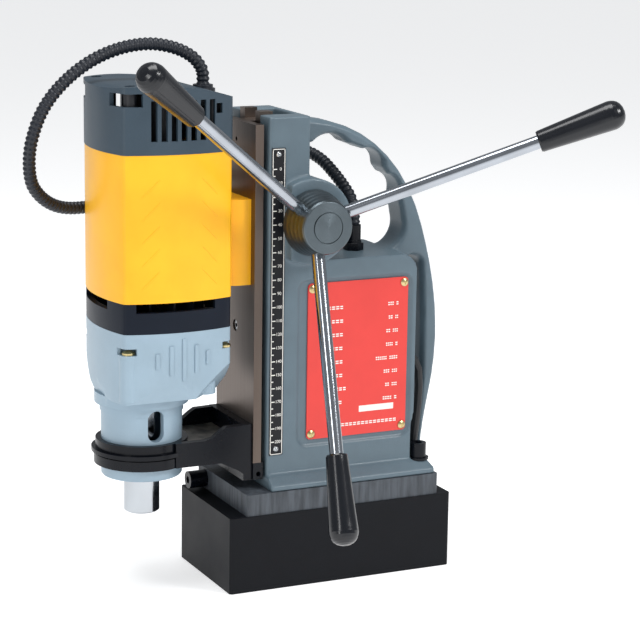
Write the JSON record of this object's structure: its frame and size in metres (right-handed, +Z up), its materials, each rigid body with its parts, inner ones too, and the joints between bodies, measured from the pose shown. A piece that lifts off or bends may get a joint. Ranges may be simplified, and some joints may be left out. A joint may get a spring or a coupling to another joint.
{
  "type": "magnetic drill press",
  "caption": "Drill press with an electromagnet base, a cast column with a curved handle, a geared drill motor on a rack-driven slide and a three-arm capstan.",
  "frame": {"origin": "centre of the magnet's working face, which lies on the work", "axes": "+Z up along the column, the drill is towards -Y, the carrying handle towards +Y, the rating plate and the capstan on +X"},
  "size_m": [0.2224, 0.3841, 0.3998],
  "materials": {
    "black_paint": "satin",
    "iron": "machined",
    "copper": "enamelled wire",
    "resin": "cast resin",
    "spacer_paint": "rough paint",
    "black_steel": "black oxide",
    "casting_paint": "fine textured paint",
    "zinc": "zinc plated",
    "brass_screw": "yellow passivated",
    "red_plate": "printed sheet",
    "black_scale": "printed sheet",
    "ground_steel": "ground",
    "bronze": "turned",
    "lead_rubber": "matte",
    "board_green": "circuit board",
    "rectifier": "moulded",
    "cream_plastic": "moulded",
    "black_plastic": "moulded",
    "green_plastic": "moulded",
    "red_plastic": "moulded",
    "yellow_paint": "semi-gloss paint",
    "lamination": "laminated",
    "collar_plastic": "moulded",
    "light_alloy": "pale grey-blue paint",
    "bearing_steel": "polished",
    "slate_plastic": "moulded",
    "dark_turned_steel": "turned",
    "chrome": "polished",
    "grip_plastic": "glossy"
  },
  "bodies": {
    "stand": {"magnet_housing": "black_paint", "magnet_core": "iron", "magnet_coil": "copper", "magnet_potting": "resin", "spacer_plate": "spacer_paint", "strap_pin": "black_steel", "drill_frame": "casting_paint", "frame_bolts": "black_steel", "control_cover": "casting_paint", "cover_plate_screws": "zinc", "nameplate": "red_plate", "nameplate_screws": "brass_screw", "travel_scale": "black_scale", "scale_rivets": "zinc", "gib_strips": "ground_steel", "gib_screws": "zinc", "pinion_bushes": "bronze", "conduit_gland": "black_steel", "magnet_lead": "lead_rubber", "circuit_board": "board_green", "rectifier_block": "rectifier", "terminal_block": "cream_plastic", "inlet_gland": "black_plastic", "indicator_lamp": "green_plastic", "switch_bezels": "black_plastic"},
    "magnet_rocker": {"magnet_rocker": "red_plastic"},
    "start_button": {"start_button": "green_plastic"},
    "stop_button": {"stop_button": "red_plastic"},
    "speed_knob": {"speed_knob": "black_plastic"},
    "carriage": {"slide_plate": "ground_steel", "rack": "iron", "stop_block": "black_steel", "mount_block": "yellow_paint", "mount_bolts": "zinc", "nose_bracket": "black_steel", "bracket_bolts": "black_steel", "clamp_screw": "zinc", "motor_housing": "yellow_paint", "stator": "lamination", "field_coils": "copper", "brush_gear": "brass_screw", "fan_collar": "collar_plastic", "gear_plate": "light_alloy", "gearbox_housing": "light_alloy", "gearbox_screws": "brass_screw", "neck_sleeve": "light_alloy", "bearings": "bearing_steel", "top_cover": "slate_plastic", "cover_screws": "black_plastic", "motor_gland": "black_plastic", "conduit": "black_plastic"},
    "spindle": {"spindle": "bearing_steel", "output_gear": "iron"},
    "layshaft": {"layshaft": "iron"},
    "armature": {"armature": "lamination", "cooling_fan": "black_plastic"},
    "capstan": {"pinion_shaft": "ground_steel", "hub": "dark_turned_steel", "arm_rods": "chrome", "arm_grips": "grip_plastic"}
  },
  "joints": [
    {"name": "carriage_feed", "type": "slide", "parent": "stand", "child": "carriage", "axis": [0, 0, 1], "range_m": [0, 0.165], "deforming": ["conduit"]},
    {"name": "capstan_turn", "type": "hinge", "parent": "stand", "child": "capstan", "pos_m": [0, -0.027, 0.27], "axis": [1, 0, 0], "range_deg": [-1052, 2]},
    {"name": "armature_spin", "type": "hinge", "parent": "carriage", "child": "armature", "pos_m": [0, -0.1276, 0.26], "axis": [0, 0, 1], "continuous": true},
    {"name": "layshaft_spin", "type": "hinge", "parent": "carriage", "child": "layshaft", "pos_m": [0.01237, -0.1094, 0.18], "axis": [0, 0, 1], "continuous": true},
    {"name": "spindle_spin", "type": "hinge", "parent": "carriage", "child": "spindle", "pos_m": [0, -0.14, 0.12], "axis": [0, 0, 1], "continuous": true},
    {"name": "magnet_rocker_tilt", "type": "hinge", "parent": "stand", "child": "magnet_rocker", "pos_m": [-0.0375, 0.02, 0.198], "axis": [0, 1, 0], "range_deg": [-18, 0]},
    {"name": "start_press", "type": "slide", "parent": "stand", "child": "start_button", "axis": [1, 0, 0], "range_m": [0, 0.003], "stiffness_N_per_m": 400},
    {"name": "stop_press", "type": "slide", "parent": "stand", "child": "stop_button", "axis": [1, 0, 0], "range_m": [0, 0.003], "stiffness_N_per_m": 400},
    {"name": "speed_turn", "type": "hinge", "parent": "stand", "child": "speed_knob", "pos_m": [-0.039, 0.004, 0.118], "axis": [1, 0, 0], "range_deg": [0, 270]}
  ],
  "couplings": [
    {"joint": "capstan_turn", "follows": "carriage_feed", "rad_per_m": -111.11},
    {"joint": "layshaft_spin", "follows": "armature_spin", "ratio": -0.19565},
    {"joint": "spindle_spin", "follows": "armature_spin", "ratio": 0.065217}
  ]
}
